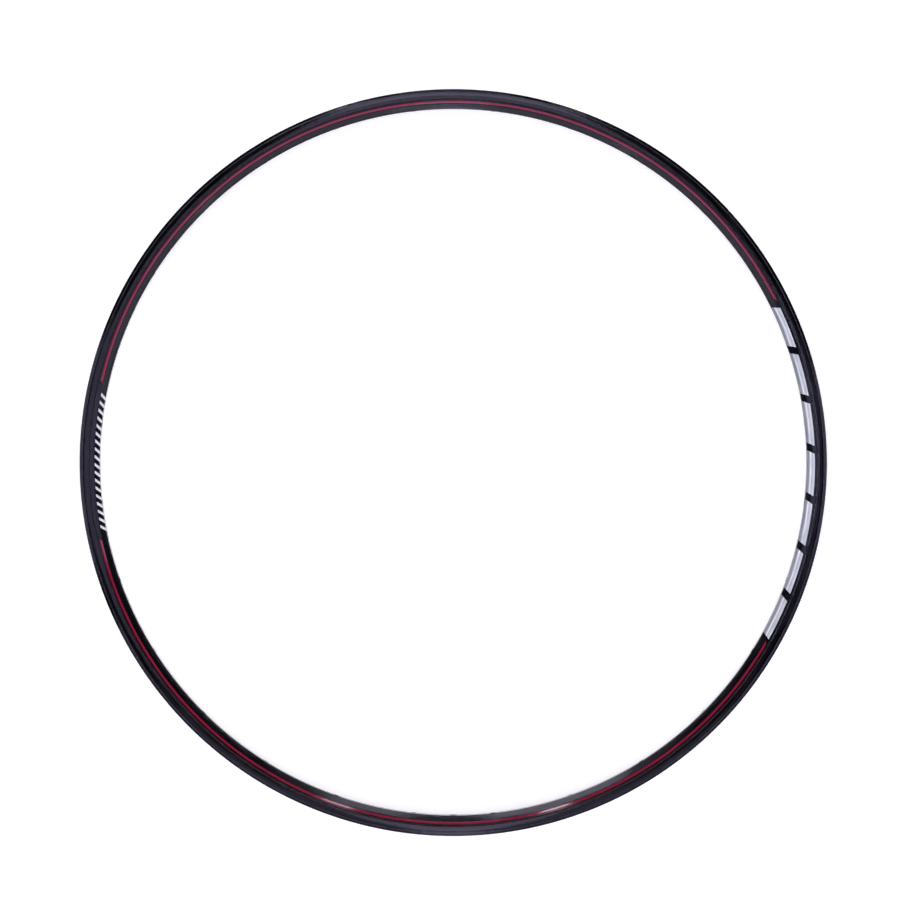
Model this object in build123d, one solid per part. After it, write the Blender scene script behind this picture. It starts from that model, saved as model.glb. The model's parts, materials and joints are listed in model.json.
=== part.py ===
from build123d import *
import os

# A single-wall, hookless bicycle rim, moulded in one piece, for a 29-inch mountain-bike tyre.
# The wheel axis is Z, the origin is the wheel's centre, and the rim lies flat on one side.
# All sizes are in millimetres and all angles in degrees.

# Tyre side of the section
BEAD_SEAT_D = 622.0  # standard diameter that the tyre's beads sit on
INNER_WIDTH = 30.0  # between the two lips
LIP_HEIGHT = 5.5  # from the bead seat to the lip's crown
LIP_THICK = 4.0  # where the side stands out most
CROWN_THICK = 1.55  # of the lip, at its crown
CROWN_EASE = 0.5  # on the crown's edge towards the tyre
SHELF_WIDTH = 3.2  # shelf that a bead sits on, beside the lip
SHELF_RISE = 0.35  # of the shelf towards the well, which keeps the bead out of it
WELL_FLOOR_WIDTH = 10.6

# Hub side of the section
RIM_DEPTH = 16.6  # from the lip's crown to the nose that the spokes pull on
SHOULDER_WIDTH = 2.4  # slope between the side and the lip's crown, measured along the radius
SHOULDER_DROP = 0.75  # how far the side falls away from its land before the shoulder
SIDE_HEIGHT = 7.7  # from the lip's crown to the crease where the wing starts
SIDE_LAND = 1.9  # flat band on the side, above the crease, that the rim lies on
WELL_HEIGHT = 7.9  # how far the well stands in from the wings
WELL_ROOT_WIDTH = 23.0  # where the well meets the wings
NOSE_WIDTH = 11.0  # flat of the well that faces the hub
BED_THICK = 3.5  # wall that the spokes pull on, from the well's floor to the nose

# Spoke and valve holes
SPOKE_COUNT = 28
SPOKE_HOLE_D = 4.5
SPOKE_STAGGER = 2.4  # from the middle plane to each side in turn, on the nose
SPOKE_LEAN = 5.9  # of a hole's axis, towards the hub flange on its own side
VALVE_HOLE_D = 6.5
VALVE_ANGLE = 270.0  # around the wheel axis, halfway between two spoke holes

SEAT_R = BEAD_SEAT_D / 2
CROWN_R = SEAT_R + LIP_HEIGHT
CREASE_R = CROWN_R - SIDE_HEIGHT
NOSE_R = CROWN_R - RIM_DEPTH
LIP_Z = INNER_WIDTH / 2
CROWN_Z = LIP_Z + CROWN_THICK
SIDE_Z = LIP_Z + LIP_THICK


def rim_section():
    """The wall's section, drawn as radius by height: a drop-centre well between two lipped wings."""
    upper_half = [
        (NOSE_R + BED_THICK, WELL_FLOOR_WIDTH / 2),
        (SEAT_R + SHELF_RISE, LIP_Z - SHELF_WIDTH),
        (SEAT_R, LIP_Z),
        (CROWN_R, LIP_Z),
        (CROWN_R, CROWN_Z),
        (CROWN_R - SHOULDER_WIDTH, SIDE_Z - SHOULDER_DROP),
        (CREASE_R + SIDE_LAND, SIDE_Z),
        (CREASE_R, SIDE_Z),
        (NOSE_R + WELL_HEIGHT, WELL_ROOT_WIDTH / 2),
        (NOSE_R, NOSE_WIDTH / 2),
    ]
    lower_half = [(radius, -height) for radius, height in reversed(upper_half)]
    section = make_face(Polyline(*upper_half, *lower_half, close=True))
    tyre_corners = section.vertices().group_by(Axis.X)[-1].sort_by(Axis.Y)[1:-1]
    return Plane.XZ * chamfer(tyre_corners, CROWN_EASE)


def bed_drill(hole_d, angle, height, lean):
    """Drill through the spoke bed at an angle round the wheel axis, leaned towards one hub flange.

    Its axis crosses the nose at the given height.
    """
    drill = Cylinder(hole_d / 2, 4 * BED_THICK)
    return Rot(0, 0, angle) * Pos(NOSE_R, 0, height) * Rot(0, 90 + lean, 0) * drill


def spoke_drills():
    """One drill for each spoke: the sides take turns, and each hole aims at its own hub flange."""
    pitch = 360 / SPOKE_COUNT
    drills = []
    for k in range(SPOKE_COUNT):
        side = 1 if k % 2 == 0 else -1
        angle = VALVE_ANGLE + (k + 0.5) * pitch
        drills.append(bed_drill(SPOKE_HOLE_D, angle, side * SPOKE_STAGGER, side * SPOKE_LEAN))
    return drills


def main():
    os.makedirs("parts", exist_ok=True)
    ring = revolve(rim_section(), Axis.Z, 360)
    rim = ring - spoke_drills() - bed_drill(VALVE_HOLE_D, VALVE_ANGLE, 0, 0)
    export_step(rim, "parts/rim.step")


main()
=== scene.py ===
import json
from math import atan2, cos, hypot, pi, radians, sin, tan

import bpy
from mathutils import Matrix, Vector


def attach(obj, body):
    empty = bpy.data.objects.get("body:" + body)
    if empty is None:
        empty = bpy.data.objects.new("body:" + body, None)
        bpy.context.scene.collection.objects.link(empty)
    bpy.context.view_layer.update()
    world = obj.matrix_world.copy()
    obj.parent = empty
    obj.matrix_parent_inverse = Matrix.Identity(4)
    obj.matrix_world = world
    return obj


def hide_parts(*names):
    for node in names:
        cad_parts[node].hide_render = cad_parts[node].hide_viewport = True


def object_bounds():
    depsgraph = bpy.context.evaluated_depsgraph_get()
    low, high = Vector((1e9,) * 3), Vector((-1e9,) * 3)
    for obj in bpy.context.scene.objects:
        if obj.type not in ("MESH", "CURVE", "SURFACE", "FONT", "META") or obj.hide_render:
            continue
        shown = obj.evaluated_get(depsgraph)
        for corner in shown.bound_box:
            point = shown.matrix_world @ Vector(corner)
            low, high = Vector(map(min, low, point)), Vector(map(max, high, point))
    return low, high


# A moulded carbon bicycle rim that lies on its side on a white floor, seen from above.
# The wheel axis is Z and the wheel's centre is the origin. Lengths are in metres and angles in degrees.

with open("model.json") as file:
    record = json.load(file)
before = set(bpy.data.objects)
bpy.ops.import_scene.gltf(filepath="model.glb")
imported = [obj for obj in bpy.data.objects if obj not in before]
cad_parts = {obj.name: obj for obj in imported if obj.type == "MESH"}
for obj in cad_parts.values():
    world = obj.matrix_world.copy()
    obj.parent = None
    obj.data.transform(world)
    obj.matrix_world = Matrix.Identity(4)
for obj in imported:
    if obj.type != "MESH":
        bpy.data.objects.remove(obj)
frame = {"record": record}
cad_low, cad_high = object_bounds()
mounts = {mount["name"]: mount for mount in frame["record"]["mounts"]}
spoke_holes = [mount for name, mount in mounts.items() if name.startswith("spoke_hole")]

MM = 0.001

# Section of the rim's wall: the solid's own, with wings about a quarter of a millimetre thicker and a slight
# hollow in the flanks of the well
CROWN_R = cad_high.x
SIDE_Z = cad_high.z
RIM_DEPTH = 16.6 * MM  # from the lip's crown to the nose that faces the hub
BED_THICK = 3.5 * MM  # wall that the spokes pull on
BED_HALF_WIDTH = 5.3 * MM  # half of the well's floor
LIP_HEIGHT = 5.5 * MM  # from the bead seat to the crown
LIP_THICK = 4.0 * MM  # where the side stands out most
CROWN_THICK = 1.55 * MM
SHOULDER_WIDTH = 2.4 * MM  # slope between the side and the crown
SHOULDER_DROP = 0.75 * MM  # how far the side falls away before the shoulder
SIDE_HEIGHT = 7.95 * MM  # from the crown to the crease where the wing starts
SIDE_LAND = 2.15 * MM  # flat band on the side, beside the crease
SIDE_BELLY = 0.1 * MM  # how far the side swells out of a straight line
SHELF_WIDTH = 3.2 * MM  # shelf that a bead sits on, beside the lip
SHELF_RISE = 0.35 * MM  # of the shelf towards the well
WELL_HEIGHT = 8.1 * MM  # how far the well stands in from the wings
WELL_ROOT_HALF = 11.65 * MM  # half of the width where the well meets the wings
NOSE_HALF = 5.52 * MM  # half of the flat that faces the hub
FLANK_FOLDS = ((0.2, 34.2), (0.35, 35.9))  # shares of the well's flank next to the nose, with their slopes

NOSE_R = CROWN_R - RIM_DEPTH
SEAT_R = CROWN_R - LIP_HEIGHT
CREASE_R = CROWN_R - SIDE_HEIGHT
ROOT_R = NOSE_R + WELL_HEIGHT
LIP_Z = SIDE_Z - LIP_THICK
CROWN_Z = LIP_Z + CROWN_THICK
SHOULDER_R = CROWN_R - SHOULDER_WIDTH
SHOULDER_Z = SIDE_Z - SHOULDER_DROP

# How the corners of the section are rounded
BED_ROUND = 2.5 * MM
SHELF_ROUND = 1.2 * MM
SEAT_ROUND = 0.6 * MM
CROWN_ROUND = 1.0 * MM
LIP_ROUND = 0.7 * MM
SHOULDER_ROUND = 6.5 * MM
BELLY_ROUND = 40.0 * MM
LAND_ROUND = 12.0 * MM
CREASE_ROUND = 0.2 * MM
FLANK_ROUND = 30.0 * MM
ROOT_ROUND = 0.2 * MM
NOSE_ROUND = 0.6 * MM
ROUNDING_STEPS = 6
RING_STEPS = 450  # straight steps round the wheel, none of which starts at the middle of a spoke hole

# Holes in the spoke bed
HOLE_EASE = 0.3 * MM  # on both edges of each hole
HOLE_SIDES = 32
DRILL_PARTS = 3  # a straight shank and a flare at each end, all of one length
SLIVER = 0.005 * MM  # points that the drilling leaves this close together are one
SHARP_ANGLE = 34.0  # between two faces, past which their edge is left sharp

# Print on the well's flanks. An arc is a pair of angles round the wheel axis, and a band is a pair of
# distances up the section from the middle of the nose. A slant is the turn from a bar's inner edge to its
# outer edge.
FILM = 0.06 * MM  # how far the print stands on the surface
FILM_WELD = FILM / 10  # points of a film this close together are one
ARC_STEP = 0.8  # between the cross lines of a film
FEWEST_LINES = 3
PRINT_RISE = 0.8 * MM  # how far the printed stretch goes on up the wing, measured along the radius
RED_ARCS = ((27.2, 167.2), (192.6, 330.4))
RED_BAND = (11.85 * MM, 14.25 * MM)
RED_SLANT = -0.5
SILVER_ARC = (331.47, 386.07)
SILVER_BAND = (5.2 * MM, 13.8 * MM)  # starts clear of the spoke holes
SILVER_SLANT = -0.675
SILVER_COUNT = 7
SILVER_GAP = 1.3
WHITE_ARC = (169.4, 191.1)
WHITE_BAND = (5.45 * MM, 10.65 * MM)
WHITE_SLANT = -0.7
WHITE_COUNT = 18
WHITE_GAP = 0.78

# Tyre's channel, which has no clear coat
OUTWARD_LEAST = 0.02  # how far a face has to look away from the axis to be in the channel
BARE_LAP = 0.3 * MM  # how far the bare surface goes past the lip's inner face, onto its crown
BARE_ROUGHNESS = 0.28  # how much duller the bare laminate is than the coat

# Camera, over the wheel, with the photo's frame of 900 pixels each way
IMAGE_SIZE = 900
CAMERA_HEIGHT = 4.8  # from the lip's crown, along the line of sight
CROWN_PIXELS = 373.86  # radius of the rim's outer edge in the image
CENTRE_PIXEL = (453.25, 463.35)  # of the ring, at the height of the crown
CAMERA_LEAN = 1.7  # off straight down
CAMERA_REACH = 50.0
SENSOR = 36.0  # in millimetres

# Floor, lamps and sky
FLOOR_SIZE = 16.0
FLOOR_GAP = 0.1 * MM  # under the rim, so that no two faces lie in one plane
FLOOR_GLOW = 0.45  # on top of the lamps' light, so that the floor shows white
LAMP_POWER = 4.0  # watts for each square metre of a lamp whose brightness is 1
NEAR_AZIMUTHS = (225, 260, 295, 330)  # of the low lamps past the bottom of the picture
RING_PANELS = 8
SKY_EDGE = 0.08  # strength of the sky at the horizon
SKY_TOP = 0.04
SKY_TOP_RISE = 0.6  # height on the sky's unit sphere from which it has its top strength


def linear(hex_colour):
    """An sRGB colour such as "#8a2040" as linear red, green, blue and alpha."""
    parts = [int(hex_colour[i : i + 2], 16) / 255 for i in (1, 3, 5)]
    return [p / 12.92 if p <= 0.04045 else ((p + 0.055) / 1.055) ** 2.4 for p in parts] + [1.0]


def add(tree, kind, links=None, stops=(), **settings):
    """Add a node. settings are its properties, and links gives each input a value or another node's output.

    stops gives a colour ramp its places and colours, in order.
    """
    node = tree.nodes.new(kind)
    for name, value in settings.items():
        setattr(node, name, value)
    for name, value in (links or {}).items():
        if isinstance(value, bpy.types.NodeSocket):
            tree.links.new(value, node.inputs[name])
        else:
            node.inputs[name].default_value = value
    for number, (place, colour) in enumerate(stops):
        ramp = node.color_ramp.elements
        stop = ramp[number] if number < len(ramp) else ramp.new(place)
        stop.position = place
        stop.color = linear(colour)
    return node


def new_tree(name, inputs):
    """A Geometry Nodes tree with named inputs, given as {name: kind of socket}, and its input sockets."""
    tree = bpy.data.node_groups.new(name, "GeometryNodeTree")
    tree.interface.new_socket("Geometry", in_out="INPUT", socket_type="NodeSocketGeometry")
    for label, kind in inputs.items():
        tree.interface.new_socket(label, in_out="INPUT", socket_type=f"NodeSocket{kind}")
    tree.interface.new_socket("Geometry", in_out="OUTPUT", socket_type="NodeSocketGeometry")
    return tree, tree.nodes.new("NodeGroupInput").outputs


def outline_object(name, corners, closed):
    """A line of edges through the corners of a section, with each corner's rounding kept beside its place.

    A corner is (radius, height, rounding). The line lies flat, across the path that it will be swept along.
    """
    places = [(radius - CROWN_R, -height, 0.0) for radius, height, _ in corners]
    edges = [(i, i + 1) for i in range(len(corners) - 1)]
    if closed:
        edges.append((len(corners) - 1, 0))
    mesh = bpy.data.meshes.new(name)
    mesh.from_pydata(places, edges, [])
    rounding = mesh.attributes.new("rounding", "FLOAT", "POINT")
    rounding.data.foreach_set("value", [corner[2] for corner in corners])
    piece = bpy.data.objects.new(name, mesh)
    bpy.context.collection.objects.link(piece)
    return piece


def grow(piece, tree, values):
    """Run a tree on a piece with the given named values, and keep the result as its plain mesh."""
    modifier = piece.modifiers.new(tree.name, "NODES")
    modifier.node_group = tree
    for item in tree.interface.items_tree:
        if item.in_out == "INPUT" and item.name in values:
            modifier[item.identifier] = values[item.name]
    level = piece.modifiers.new("flat faces stay flat", "WEIGHTED_NORMAL")
    level.keep_sharp = True
    graph = bpy.context.evaluated_depsgraph_get()
    mesh = bpy.data.meshes.new_from_object(piece.evaluated_get(graph))
    piece.modifiers.clear()
    piece.data = mesh


def flank_corners():
    """The corners that hollow the well's flank, from the nose towards the wing's root."""
    corners = []
    radius, height = NOSE_R, NOSE_HALF
    for share, slope in FLANK_FOLDS:
        run = share * (ROOT_R - NOSE_R)
        radius += run
        height += run * tan(radians(slope))
        corners.append((radius, height, FLANK_ROUND))
    return corners


def rim_corners():
    """Corners of the whole section, counter-clockwise round the wall: the upper half, then the lower."""
    side_mid_r = (SHOULDER_R + CREASE_R + SIDE_LAND) / 2
    side_mid_z = (SHOULDER_Z + SIDE_Z) / 2 + SIDE_BELLY
    upper = [
        (NOSE_R, NOSE_HALF, NOSE_ROUND),
        *flank_corners(),
        (ROOT_R, WELL_ROOT_HALF, ROOT_ROUND),
        (CREASE_R, SIDE_Z, CREASE_ROUND),
        (CREASE_R + SIDE_LAND, SIDE_Z, LAND_ROUND),
        (side_mid_r, side_mid_z, BELLY_ROUND),
        (SHOULDER_R, SHOULDER_Z, SHOULDER_ROUND),
        (CROWN_R, CROWN_Z, CROWN_ROUND),
        (CROWN_R, LIP_Z, LIP_ROUND),
        (SEAT_R, LIP_Z, SEAT_ROUND),
        (SEAT_R + SHELF_RISE, LIP_Z - SHELF_WIDTH, SHELF_ROUND),
        (NOSE_R + BED_THICK, BED_HALF_WIDTH, BED_ROUND),
    ]
    lower = [(radius, -height, rounding) for radius, height, rounding in reversed(upper)]
    return upper + lower


def print_corners():
    """Corners of the stretch that carries print: from the middle of the nose, up the flank, to the wing."""
    wing_slope = (SIDE_Z - WELL_ROOT_HALF) / (CREASE_R - ROOT_R)
    return [
        (NOSE_R, 0.0, 0.0),
        (NOSE_R, NOSE_HALF, NOSE_ROUND),
        *flank_corners(),
        (ROOT_R, WELL_ROOT_HALF, ROOT_ROUND),
        (ROOT_R + PRINT_RISE, WELL_ROOT_HALF + PRINT_RISE * wing_slope, 0.0),
    ]


def rounded_line(tree, line, steps):
    """Nodes that turn a line of edges into a curve with its corners rounded, each by its own radius."""
    curve = add(tree, "GeometryNodeMeshToCurve", {"Mesh": line})
    radius = add(tree, "GeometryNodeInputNamedAttribute", {"Name": "rounding"}, data_type="FLOAT")
    return add(
        tree,
        "GeometryNodeFilletCurve",
        {"Curve": curve.outputs[0], "Count": steps, "Radius": radius.outputs[0], "Limit Radius": True},
        mode="POLY",
    ).outputs[0]


def drill_tree():
    """Tree for what a hole takes away: a drill that flares out before it meets each face of the bed.

    The drill's own axis is Z, and the middle of the bed is at its origin.
    """
    sizes = {"Radius": "Float", "Wall": "Float", "Ease": "Float", "Sides": "Int"}
    tree, given = new_tree("eased drill", sizes)
    half_wall = add(tree, "ShaderNodeMath", {0: given["Wall"], 1: 0.5}, operation="MULTIPLY").outputs[0]
    waist = add(tree, "ShaderNodeMath", {0: half_wall, 1: given["Ease"]}, operation="SUBTRACT").outputs[0]
    length = add(tree, "ShaderNodeMath", {0: waist, 1: 2.0 * DRILL_PARTS}, operation="MULTIPLY").outputs[0]
    shank = add(
        tree,
        "GeometryNodeMeshCylinder",
        {
            "Vertices": given["Sides"],
            "Side Segments": DRILL_PARTS,
            "Radius": given["Radius"],
            "Depth": length,
        },
    )

    # The middle third of the length keeps the hole's radius, and each end widens at 45 degrees
    here = add(tree, "GeometryNodeInputPosition").outputs[0]
    height = add(tree, "ShaderNodeSeparateXYZ", {"Vector": here}).outputs["Z"]
    reach = add(tree, "ShaderNodeMath", {0: height}, operation="ABSOLUTE").outputs[0]
    past = add(tree, "ShaderNodeMath", {0: reach, 1: waist}, operation="SUBTRACT").outputs[0]
    flare = add(tree, "ShaderNodeMath", {0: past, 1: 0.0}, operation="MAXIMUM").outputs[0]
    wider = add(tree, "ShaderNodeMath", {0: flare, 1: given["Radius"]}, operation="DIVIDE").outputs[0]
    scale = add(tree, "ShaderNodeMath", {0: wider, 1: 1.0}, operation="ADD").outputs[0]
    stretch = add(tree, "ShaderNodeCombineXYZ", {"X": scale, "Y": scale, "Z": 1.0}).outputs[0]
    place = add(tree, "ShaderNodeVectorMath", {0: here, 1: stretch}, operation="MULTIPLY").outputs[0]
    drill = add(tree, "GeometryNodeSetPosition", {"Geometry": shank.outputs["Mesh"], "Position": place})
    add(tree, "NodeGroupOutput", {"Geometry": drill.outputs[0]})
    return tree


def rim_tree(drill):
    """Tree for the moulded rim: its section swept round the wheel, with valve and spoke holes drilled."""
    tree, given = new_tree(
        "drilled rim",
        {
            "Path Radius": "Float",
            "Path Steps": "Int",
            "Rounding Steps": "Int",
            "Bed Radius": "Float",
            "Bed Thickness": "Float",
            "Spoke Count": "Int",
            "Spoke Hole Radius": "Float",
            "Spoke Offset": "Float",
            "Spoke Lean": "Float",
            "Valve Hole Radius": "Float",
            "Valve Angle": "Float",
            "Hole Ease": "Float",
            "Hole Sides": "Int",
            "Sliver": "Float",
            "Sharp Angle": "Float",
            "Material": "Material",
        },
    )
    section = rounded_line(tree, given["Geometry"], given["Rounding Steps"])
    path = add(
        tree,
        "GeometryNodeCurvePrimitiveCircle",
        {"Resolution": given["Path Steps"], "Radius": given["Path Radius"]},
    )
    ring = add(tree, "GeometryNodeCurveToMesh", {"Curve": path.outputs["Curve"], "Profile Curve": section})

    # Each spoke hole stands half a pitch on from the valve, and its side of the bed changes with each step
    index = add(tree, "GeometryNodeInputIndex").outputs[0]
    pitch = add(tree, "ShaderNodeMath", {0: 2 * pi, 1: given["Spoke Count"]}, operation="DIVIDE").outputs[0]
    half_on = add(tree, "ShaderNodeMath", {0: index, 1: 0.5}, operation="ADD").outputs[0]
    angle = add(
        tree, "ShaderNodeMath", {0: half_on, 1: pitch, 2: given["Valve Angle"]}, operation="MULTIPLY_ADD"
    ).outputs[0]
    odd = add(tree, "ShaderNodeMath", {0: index, 1: 2.0}, operation="MODULO").outputs[0]
    side = add(tree, "ShaderNodeMath", {0: odd, 1: -2.0, 2: 1.0}, operation="MULTIPLY_ADD").outputs[0]
    rise = add(tree, "ShaderNodeMath", {0: side, 1: given["Spoke Offset"]}, operation="MULTIPLY").outputs[0]
    lean = add(
        tree, "ShaderNodeMath", {0: side, 1: given["Spoke Lean"], 2: pi / 2}, operation="MULTIPLY_ADD"
    ).outputs[0]
    ahead = add(tree, "ShaderNodeCombineXYZ", {"X": given["Bed Radius"], "Z": rise}).outputs[0]
    place = add(
        tree, "ShaderNodeVectorRotate", {"Vector": ahead, "Angle": angle}, rotation_type="Z_AXIS"
    ).outputs[0]
    points = add(tree, "GeometryNodePoints", {"Count": given["Spoke Count"], "Position": place})

    # The spoke holes and the valve hole have drills of one kind, each with its own radius
    shared = {"Wall": given["Bed Thickness"], "Ease": given["Hole Ease"], "Sides": given["Hole Sides"]}
    spoke_drill = add(tree, "GeometryNodeGroup", node_tree=drill)
    valve_drill = add(tree, "GeometryNodeGroup", node_tree=drill)
    for node, radius in ((spoke_drill, "Spoke Hole Radius"), (valve_drill, "Valve Hole Radius")):
        tree.links.new(given[radius], node.inputs["Radius"])
        for name, socket in shared.items():
            tree.links.new(socket, node.inputs[name])
    spoke_turn = add(tree, "ShaderNodeCombineXYZ", {"Y": lean, "Z": angle})
    spokes = add(
        tree,
        "GeometryNodeInstanceOnPoints",
        {"Points": points.outputs[0], "Instance": spoke_drill.outputs[0], "Rotation": spoke_turn.outputs[0]},
    )
    valve_ahead = add(tree, "ShaderNodeCombineXYZ", {"X": given["Bed Radius"]}).outputs[0]
    valve_place = add(
        tree,
        "ShaderNodeVectorRotate",
        {"Vector": valve_ahead, "Angle": given["Valve Angle"]},
        rotation_type="Z_AXIS",
    )
    valve_turn = add(tree, "ShaderNodeCombineXYZ", {"Y": pi / 2, "Z": given["Valve Angle"]})
    valve = add(
        tree,
        "GeometryNodeTransform",
        {
            "Geometry": valve_drill.outputs[0],
            "Translation": valve_place.outputs[0],
            "Rotation": valve_turn.outputs[0],
        },
    )
    drills = add(tree, "GeometryNodeRealizeInstances", {"Geometry": spokes.outputs[0]})
    bored = add(
        tree,
        "GeometryNodeMeshBoolean",
        {"Mesh 1": ring.outputs[0]},
        operation="DIFFERENCE",
        solver="EXACT",
    )
    tree.links.new(drills.outputs[0], bored.inputs["Mesh 2"])
    tree.links.new(valve.outputs[0], bored.inputs["Mesh 2"])
    clean = add(
        tree, "GeometryNodeMergeByDistance", {"Geometry": bored.outputs["Mesh"], "Distance": given["Sliver"]}
    )

    # Smooth all over, apart from the edges of the holes
    smooth = add(tree, "GeometryNodeSetShadeSmooth", {"Geometry": clean.outputs[0], "Shade Smooth": True})
    bend = add(tree, "GeometryNodeInputMeshEdgeAngle").outputs["Unsigned Angle"]
    limit = {"A": bend, "B": given["Sharp Angle"]}
    sharp = add(tree, "FunctionNodeCompare", limit, operation="GREATER_THAN")
    edged = add(
        tree,
        "GeometryNodeSetShadeSmooth",
        {"Geometry": smooth.outputs[0], "Selection": sharp.outputs[0], "Shade Smooth": False},
        domain="EDGE",
    )
    whole = add(tree, "GeometryNodeRealizeInstances", {"Geometry": edged.outputs[0]})
    finish = {"Geometry": whole.outputs[0], "Material": given["Material"]}
    coated = add(tree, "GeometryNodeSetMaterial", finish)
    add(tree, "NodeGroupOutput", {"Geometry": coated.outputs[0]})
    return tree


def print_tree():
    """Tree for a row of printed bars: thin films that follow the well's flank, each a stretch of it.

    The row is repeated on the other side of the rim, turned over about the valve's axis.
    """
    tree, given = new_tree(
        "printed row",
        {
            "Path Radius": "Float",
            "Rounding Steps": "Int",
            "From": "Float",
            "To": "Float",
            "First Angle": "Float",
            "Bar Angle": "Float",
            "Pitch": "Float",
            "Count": "Int",
            "Slant": "Float",
            "Cross Lines": "Int",
            "Film": "Float",
            "Weld": "Float",
            "Material": "Material",
        },
    )
    flank = rounded_line(tree, given["Geometry"], given["Rounding Steps"])
    width = add(
        tree,
        "GeometryNodeTrimCurve",
        {"Curve": flank, "Start": given["From"], "End": given["To"]},
        mode="LENGTH",
    )
    across = add(tree, "GeometryNodeSplineParameter").outputs["Factor"]
    marked = add(
        tree,
        "GeometryNodeStoreNamedAttribute",
        {"Geometry": width.outputs[0], "Name": "across", "Value": across},
        data_type="FLOAT",
        domain="POINT",
    )
    path = add(
        tree,
        "GeometryNodeCurveArc",
        {
            "Resolution": given["Cross Lines"],
            "Radius": given["Path Radius"],
            "Sweep Angle": given["Bar Angle"],
        },
    )
    sheet = add(
        tree,
        "GeometryNodeCurveToMesh",
        {"Curve": path.outputs["Curve"], "Profile Curve": marked.outputs[0]},
    )

    # The outer edge of each bar is turned on from the inner one, which slants the ends
    here = add(tree, "GeometryNodeInputPosition").outputs[0]
    lag = add(tree, "GeometryNodeInputNamedAttribute", {"Name": "across"}, data_type="FLOAT").outputs[0]
    shear = add(tree, "ShaderNodeMath", {0: lag, 1: given["Slant"]}, operation="MULTIPLY").outputs[0]
    slid = add(
        tree, "ShaderNodeVectorRotate", {"Vector": here, "Angle": shear}, rotation_type="Z_AXIS"
    ).outputs[0]
    bar = add(tree, "GeometryNodeSetPosition", {"Geometry": sheet.outputs[0], "Position": slid})
    raised = add(
        tree,
        "GeometryNodeExtrudeMesh",
        {"Mesh": bar.outputs[0], "Offset Scale": given["Film"], "Individual": False},
        mode="FACES",
    )
    back = add(tree, "GeometryNodeFlipFaces", {"Mesh": bar.outputs[0]})
    shell = add(tree, "GeometryNodeJoinGeometry")
    for part in (raised.outputs["Mesh"], back.outputs[0]):
        tree.links.new(part, shell.inputs[0])
    film = add(
        tree, "GeometryNodeMergeByDistance", {"Geometry": shell.outputs[0], "Distance": given["Weld"]}
    )

    # The bars of the row stand one pitch apart
    index = add(tree, "GeometryNodeInputIndex").outputs[0]
    angle = add(
        tree,
        "ShaderNodeMath",
        {0: index, 1: given["Pitch"], 2: given["First Angle"]},
        operation="MULTIPLY_ADD",
    ).outputs[0]
    turn = add(tree, "ShaderNodeCombineXYZ", {"Z": angle})
    points = add(tree, "GeometryNodePoints", {"Count": given["Count"]})
    row = add(
        tree,
        "GeometryNodeInstanceOnPoints",
        {"Points": points.outputs[0], "Instance": film.outputs[0], "Rotation": turn.outputs[0]},
    )
    row = add(tree, "GeometryNodeRealizeInstances", {"Geometry": row.outputs[0]})
    under = add(tree, "GeometryNodeTransform", {"Geometry": row.outputs[0], "Rotation": (0.0, pi, 0.0)})
    both = add(tree, "GeometryNodeJoinGeometry")
    for part in (row.outputs[0], under.outputs[0]):
        tree.links.new(part, both.inputs[0])
    smooth = add(tree, "GeometryNodeSetShadeSmooth", {"Geometry": both.outputs[0], "Shade Smooth": True})
    whole = add(tree, "GeometryNodeRealizeInstances", {"Geometry": smooth.outputs[0]})
    finish = {"Geometry": whole.outputs[0], "Material": given["Material"]}
    inked = add(tree, "GeometryNodeSetMaterial", finish)
    add(tree, "NodeGroupOutput", {"Geometry": inked.outputs[0]})
    return tree


def new_material(name):
    """A node material with only the shader and its output in it. Returns the material, tree and shader."""
    material = bpy.data.materials.new(name)
    material.use_nodes = True
    tree = material.node_tree
    return material, tree, tree.nodes["Principled BSDF"]


def wheel_coordinates(tree):
    """Nodes for the way out from the wheel axis, the distance from it and the height, at each point."""
    place = add(tree, "ShaderNodeTexCoord").outputs["Object"]
    parts = add(tree, "ShaderNodeSeparateXYZ", {"Vector": place}).outputs
    flat = add(tree, "ShaderNodeVectorMath", {0: place, 1: (1.0, 1.0, 0.0)}, operation="MULTIPLY").outputs[0]
    radius = add(tree, "ShaderNodeVectorMath", {0: flat}, operation="LENGTH").outputs["Value"]
    way = add(tree, "ShaderNodeVectorMath", {0: flat}, operation="NORMALIZE").outputs[0]
    return way, radius, parts["Z"]


def fibre_noise(tree, length, spacing, detail):
    """Noise drawn out along the rim, as fibres are laid, with no seam where the ring closes."""
    way, radius, height = wheel_coordinates(tree)
    along = add(
        tree, "ShaderNodeVectorMath", {0: way, "Scale": CROWN_R / length}, operation="SCALE"
    ).outputs[0]
    out = add(tree, "ShaderNodeMath", {0: radius, 1: 1 / spacing}, operation="MULTIPLY").outputs[0]
    up = add(tree, "ShaderNodeMath", {0: height, 1: 1 / spacing}, operation="MULTIPLY").outputs[0]
    lift = add(tree, "ShaderNodeCombineXYZ", {"Z": out}).outputs[0]
    where = add(tree, "ShaderNodeVectorMath", {0: along, 1: lift}, operation="ADD").outputs[0]
    return add(
        tree,
        "ShaderNodeTexNoise",
        {"Vector": where, "W": up, "Scale": 1.0, "Detail": detail, "Roughness": 0.55},
        noise_dimensions="4D",
    ).outputs[0]


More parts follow.
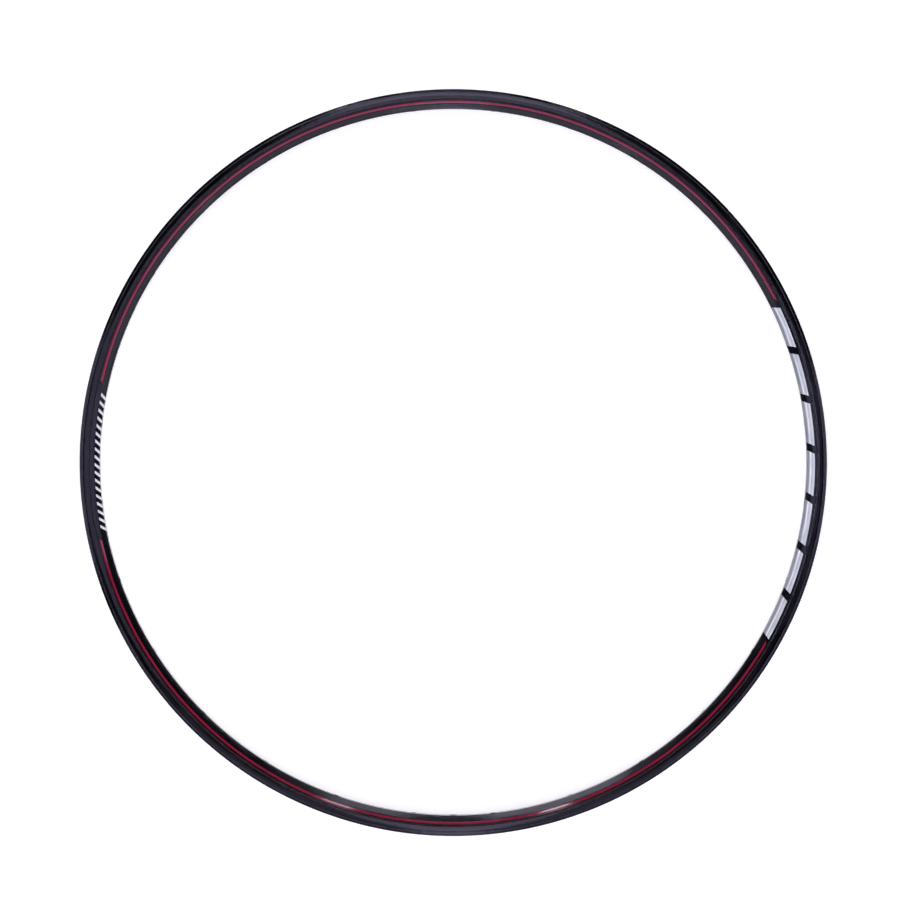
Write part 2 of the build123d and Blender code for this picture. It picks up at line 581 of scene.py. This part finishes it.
def moulded_carbon():
    """Carbon laminate from a closed mould, under a thin gloss coat: near black, with clean reflections.

    The fibres that run round the rim show as faint streaks and as a slight relief. Single fibres are too
    fine to show, so the streaks are as wide as bundles of them. The tyre's channel has no coat, and is
    duller.
    """
    material, tree, shader = new_material("moulded carbon laminate")
    streak = fibre_noise(tree, length=26.0 * MM, spacing=1.3 * MM, detail=3.0)
    tone = add(tree, "ShaderNodeValToRGB", {"Fac": streak}, stops=((0.46, "#020203"), (0.78, "#191920")))
    tree.links.new(tone.outputs["Color"], shader.inputs["Base Color"])

    # The channel is whatever looks away from the axis between the two lips
    way, _, height = wheel_coordinates(tree)
    facing = add(tree, "ShaderNodeTexCoord").outputs["Normal"]
    outward = add(
        tree, "ShaderNodeVectorMath", {0: facing, 1: way}, operation="DOT_PRODUCT"
    ).outputs["Value"]
    tyre_side = add(
        tree, "ShaderNodeMath", {0: outward, 1: OUTWARD_LEAST}, operation="GREATER_THAN"
    ).outputs[0]
    depth = add(tree, "ShaderNodeMath", {0: height}, operation="ABSOLUTE").outputs[0]
    inside = add(tree, "ShaderNodeMath", {0: depth, 1: LIP_Z + BARE_LAP}, operation="LESS_THAN").outputs[0]
    bare = add(tree, "ShaderNodeMath", {0: tyre_side, 1: inside}, operation="MULTIPLY").outputs[0]
    coat = add(tree, "ShaderNodeMapRange", {"Value": streak, "To Min": 0.09, "To Max": 0.17}).outputs[0]
    rough = add(
        tree, "ShaderNodeMath", {0: bare, 1: BARE_ROUGHNESS, 2: coat}, operation="MULTIPLY_ADD"
    ).outputs[0]
    tree.links.new(rough, shader.inputs["Roughness"])

    grain = fibre_noise(tree, length=5.0 * MM, spacing=1.4 * MM, detail=2.0)
    relief = add(tree, "ShaderNodeBump", {"Height": grain, "Strength": 1.0, "Distance": 0.08 * MM})
    tree.links.new(relief.outputs[0], shader.inputs["Normal"])
    shader.inputs["IOR"].default_value = 1.42
    shader.inputs["Specular Tint"].default_value = linear("#e9e5ff")
    return material


def red_print():
    """Crimson gloss ink on the clear coat: an even film with a slightly uneven gloss."""
    material, tree, shader = new_material("crimson gloss ink")
    shade = fibre_noise(tree, length=18.0 * MM, spacing=2.0 * MM, detail=2.0)
    tone = add(tree, "ShaderNodeValToRGB", {"Fac": shade}, stops=((0.3, "#7c1a34"), (0.7, "#861f3c")))
    tree.links.new(tone.outputs["Color"], shader.inputs["Base Color"])
    rough = add(tree, "ShaderNodeMapRange", {"Value": shade, "To Min": 0.05, "To Max": 0.08})
    tree.links.new(rough.outputs[0], shader.inputs["Roughness"])
    return material


def silver_print():
    """Silver ink with fine metal flake: a cool grey, with painted shade next to the nose and painted
    highlights in lines along the bar.

    The flake is too fine to show by itself, so it is drawn as soft streaks.
    """
    material, tree, shader = new_material("silver flake ink")
    flake = fibre_noise(tree, length=14.0 * MM, spacing=1.6 * MM, detail=3.0)
    tone = add(tree, "ShaderNodeValToRGB", {"Fac": flake}, stops=((0.3, "#c4c8d2"), (0.7, "#ffffff")))
    across = add(tree, "ShaderNodeAttribute", attribute_name="across").outputs["Fac"]
    # Across each bar the ramp paints shade next to the nose and highlights in lines along the bar
    painted_shade_stops = ((0.0, "#95979f"), (0.29, "#8c8e96"))
    painted_highlight_stops = ((0.455, "#f2f3f8"), (0.525, "#f6f7fc"), (0.645, "#c8cad4"), (0.905, "#eceef4"))
    band = add(tree, "ShaderNodeValToRGB", {"Fac": across}, stops=painted_shade_stops + painted_highlight_stops)
    shades = {0: band.outputs["Color"], 1: tone.outputs["Color"]}
    silver = add(tree, "ShaderNodeVectorMath", shades, operation="MULTIPLY").outputs[0]
    tree.links.new(silver, shader.inputs["Base Color"])
    rough = add(tree, "ShaderNodeMapRange", {"Value": flake, "To Min": 0.34, "To Max": 0.42})
    tree.links.new(rough.outputs[0], shader.inputs["Roughness"])
    shader.inputs["Metallic"].default_value = 0.3
    return material


def white_print():
    """White gloss ink on the clear coat, a little thin, so that it isn't quite even."""
    material, tree, shader = new_material("white gloss ink")
    shade = fibre_noise(tree, length=4.0 * MM, spacing=1.5 * MM, detail=2.0)
    tone = add(tree, "ShaderNodeValToRGB", {"Fac": shade}, stops=((0.3, "#cfcfd6"), (0.7, "#dedee4")))
    tree.links.new(tone.outputs["Color"], shader.inputs["Base Color"])
    shader.inputs["Roughness"].default_value = 0.35
    return material


def make_body():
    """The moulded rim itself, with its corners rounded, standing for the plain solid."""
    first = spoke_holes[0]
    valve = mounts["valve_hole"]
    body = outline_object("rim_body", rim_corners(), closed=True)
    grow(
        body,
        rim_tree(drill_tree()),
        {
            "Path Radius": CROWN_R,
            "Path Steps": RING_STEPS,
            "Rounding Steps": ROUNDING_STEPS,
            "Bed Radius": hypot(first["pos_m"][0], first["pos_m"][1]),
            "Bed Thickness": BED_THICK,
            "Spoke Count": len(spoke_holes),
            "Spoke Hole Radius": first["dims"]["r_mm"] * MM,
            "Spoke Offset": first["pos_m"][2],
            "Spoke Lean": atan2(-first["axis"][2], hypot(first["axis"][0], first["axis"][1])),
            "Valve Hole Radius": valve["dims"]["r_mm"] * MM,
            "Valve Angle": atan2(valve["pos_m"][1], valve["pos_m"][0]),
            "Hole Ease": HOLE_EASE,
            "Hole Sides": HOLE_SIDES,
            "Sliver": SLIVER,
            "Sharp Angle": radians(SHARP_ANGLE),
            "Material": moulded_carbon(),
        },
    )
    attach(body, "root")
    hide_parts("rim")


def make_print(name, tree, ink, arc, band, slant, count=1, gap=0.0):
    """A printed row of count bars that share an arc, with a gap in degrees between them."""
    start, end = arc
    pitch = (end - start + gap) / count
    bar = pitch - gap
    piece = outline_object(name, print_corners(), closed=False)
    grow(
        piece,
        tree,
        {
            "Path Radius": CROWN_R,
            "Rounding Steps": ROUNDING_STEPS,
            "From": band[0],
            "To": band[1],
            "First Angle": radians(start),
            "Bar Angle": radians(bar),
            "Pitch": radians(pitch),
            "Count": count,
            "Slant": radians(slant),
            "Cross Lines": max(FEWEST_LINES, round(bar / ARC_STEP) + 1),
            "Film": FILM,
            "Weld": FILM_WELD,
            "Material": ink,
        },
    )
    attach(piece, "root")


def make_prints():
    """All the print: two long red stripes, a row of silver bars and a row of white dashes."""
    tree = print_tree()
    red = red_print()
    for number, arc in enumerate(RED_ARCS, 1):
        make_print(f"red_stripe_{number}", tree, red, arc, RED_BAND, RED_SLANT)
    make_print(
        "silver_bars",
        tree,
        silver_print(),
        SILVER_ARC,
        SILVER_BAND,
        SILVER_SLANT,
        count=SILVER_COUNT,
        gap=SILVER_GAP,
    )
    make_print(
        "white_dashes",
        tree,
        white_print(),
        WHITE_ARC,
        WHITE_BAND,
        WHITE_SLANT,
        count=WHITE_COUNT,
        gap=WHITE_GAP,
    )


def make_camera():
    """The camera stands over the wheel and leans back a little towards the top of the picture."""
    pixel = CROWN_R / CROWN_PIXELS
    aim = Vector((IMAGE_SIZE / 2 - CENTRE_PIXEL[0], CENTRE_PIXEL[1] - IMAGE_SIZE / 2, 0.0)) * pixel
    aim.z = CROWN_Z
    lean = radians(CAMERA_LEAN)
    back = Vector((0.0, sin(lean), cos(lean)))
    data = bpy.data.cameras.new("camera")
    data.sensor_width = SENSOR
    data.lens = SENSOR * CAMERA_HEIGHT / (IMAGE_SIZE * pixel)
    data.clip_end = CAMERA_REACH
    camera = bpy.data.objects.new("camera", data)
    camera.location = aim + CAMERA_HEIGHT * back
    camera.rotation_euler = (-lean, 0.0, 0.0)
    bpy.context.collection.objects.link(camera)
    bpy.context.scene.camera = camera


def make_floor():
    """A wide pale floor that shows white, with the rim's own shadow left on it."""
    half = FLOOR_SIZE / 2
    level = cad_low.z - FLOOR_GAP
    corners = [(x * half, y * half, level) for x, y in ((-1, -1), (1, -1), (1, 1), (-1, 1))]
    mesh = bpy.data.meshes.new("floor")
    mesh.from_pydata(corners, [], [(0, 1, 2, 3)])
    floor = bpy.data.objects.new("floor", mesh)
    bpy.context.collection.objects.link(floor)
    material, tree, shader = new_material("white studio floor")
    shader.inputs["Base Color"].default_value = linear("#f2f2f2")
    shader.inputs["Roughness"].default_value = 0.9
    shader.inputs["Specular IOR Level"].default_value = 0.0
    rays = add(tree, "ShaderNodeLightPath").outputs
    seen = rays["Is Camera Ray"]
    for kind in ("Is Glossy Ray", "Is Transmission Ray"):
        seen = add(tree, "ShaderNodeMath", {0: seen, 1: rays[kind]}, operation="MAXIMUM").outputs[0]
    glow = add(tree, "ShaderNodeMath", {0: seen, 1: FLOOR_GLOW}, operation="MULTIPLY")
    shader.inputs["Emission Color"].default_value = linear("#ffffff")
    tree.links.new(glow.outputs[0], shader.inputs["Emission Strength"])
    mesh.materials.append(material)


def softbox(name, at, size, brightness, tint="#ffffff"):
    """A soft light aimed at the wheel's centre. at is its azimuth, tilt from straight up and distance."""
    azimuth, tilt, distance = radians(at[0]), radians(at[1]), at[2]
    data = bpy.data.lights.new(name, "AREA")
    data.shape = "RECTANGLE"
    data.size, data.size_y = size
    data.energy = brightness * LAMP_POWER * size[0] * size[1]
    data.color = linear(tint)[:3]
    lamp = bpy.data.objects.new(name, data)
    reach = distance * sin(tilt)
    lamp.location = (reach * cos(azimuth), reach * sin(azimuth), distance * cos(tilt))
    lamp.rotation_euler = lamp.location.to_track_quat("Z", "Y").to_euler()
    lamp.visible_camera = False
    bpy.context.collection.objects.link(lamp)


def make_lights():
    """The lamps of the studio, grouped by the faces of the rim that mirror them."""
    # High lamps, in the sides and shoulders below them
    softbox("top box", at=(90, 32, 2.0), size=(0.84, 0.7), brightness=2.8, tint="#f4ecff")
    softbox("top overhead", at=(90, 11, 2.0), size=(0.5, 0.4), brightness=1.75, tint="#f4ecff")
    softbox("bottom strip", at=(270, 21, 2.0), size=(0.26, 1.1), brightness=2.6, tint="#f0eeff")
    softbox("bottom low strip", at=(270, 53, 2.4), size=(0.3, 1.1), brightness=2.6, tint="#f0eeff")
    softbox("bottom box", at=(270, 30, 2.1), size=(1.9, 0.7), brightness=0.65, tint="#f0eeff")
    softbox("left box", at=(180, 22, 2.0), size=(0.65, 1.0), brightness=1.2, tint="#e4e2ff")
    softbox("right box", at=(355, 28, 2.0), size=(0.8, 0.6), brightness=0.4, tint="#e0dcff")
    softbox("right overhead", at=(0, 11, 2.0), size=(0.25, 0.14), brightness=3.6, tint="#e4e2ff")

    # Low lamps, in the flanks on the other side of the wheel
    softbox("far box 1", at=(75.5, 62, 2.6), size=(0.56, 0.4), brightness=2.3)
    softbox("far box 2", at=(108, 62, 2.6), size=(1.0, 0.4), brightness=3.0)
    softbox("far lamp 1", at=(70.5, 71, 2.5), size=(0.2, 0.15), brightness=6.0)
    softbox("far lamp 2", at=(107, 71, 2.5), size=(0.2, 0.15), brightness=9.0)
    softbox("far wall", at=(95, 62, 2.7), size=(3.4, 0.4), brightness=0.4)
    softbox("far strip", at=(90, 75, 2.6), size=(0.8, 0.2), brightness=1.4, tint="#e4e2ff")
    softbox("left wall", at=(180, 76, 2.6), size=(1.6, 0.4), brightness=1.7, tint="#e4e2ff")
    softbox("right wall", at=(0, 76, 2.6), size=(1.2, 0.4), brightness=1.7, tint="#e0dcff")
    softbox("bottom wall", at=(270, 78, 2.6), size=(0.5, 0.2), brightness=1.6, tint="#e4e2ff")
    for number, azimuth in enumerate(NEAR_AZIMUTHS, 1):
        softbox(f"near wall {number}", at=(azimuth, 66.5, 2.6), size=(1.6, 0.35), brightness=1.3)
        low_place = (azimuth, 75, 2.6)
        softbox(f"near strip {number}", at=low_place, size=(1.6, 0.2), brightness=1.2, tint="#dccfff")

    # Even light from all round, for the print and the floor
    for number in range(RING_PANELS):
        azimuth = (number + 0.5) * 360 / RING_PANELS
        softbox(f"ring panel {number + 1}", at=(azimuth, 52, 2.6), size=(1.75, 0.5), brightness=2.7)


def make_sky():
    """A dim sky that is lighter towards the horizon."""
    world = bpy.data.worlds.new("studio")
    bpy.context.scene.world = world
    world.use_nodes = True
    tree = world.node_tree
    way = add(tree, "ShaderNodeTexCoord").outputs["Generated"]
    rise = add(tree, "ShaderNodeSeparateXYZ", {"Vector": way}).outputs["Z"]
    span = {"Value": rise, "From Max": SKY_TOP_RISE, "To Min": SKY_EDGE, "To Max": SKY_TOP}
    strength = add(tree, "ShaderNodeMapRange", span)
    tree.links.new(strength.outputs[0], tree.nodes["Background"].inputs["Strength"])


make_body()
make_prints()
make_camera()
make_floor()
make_lights()
make_sky()
bpy.context.scene.view_settings.view_transform = "Standard"
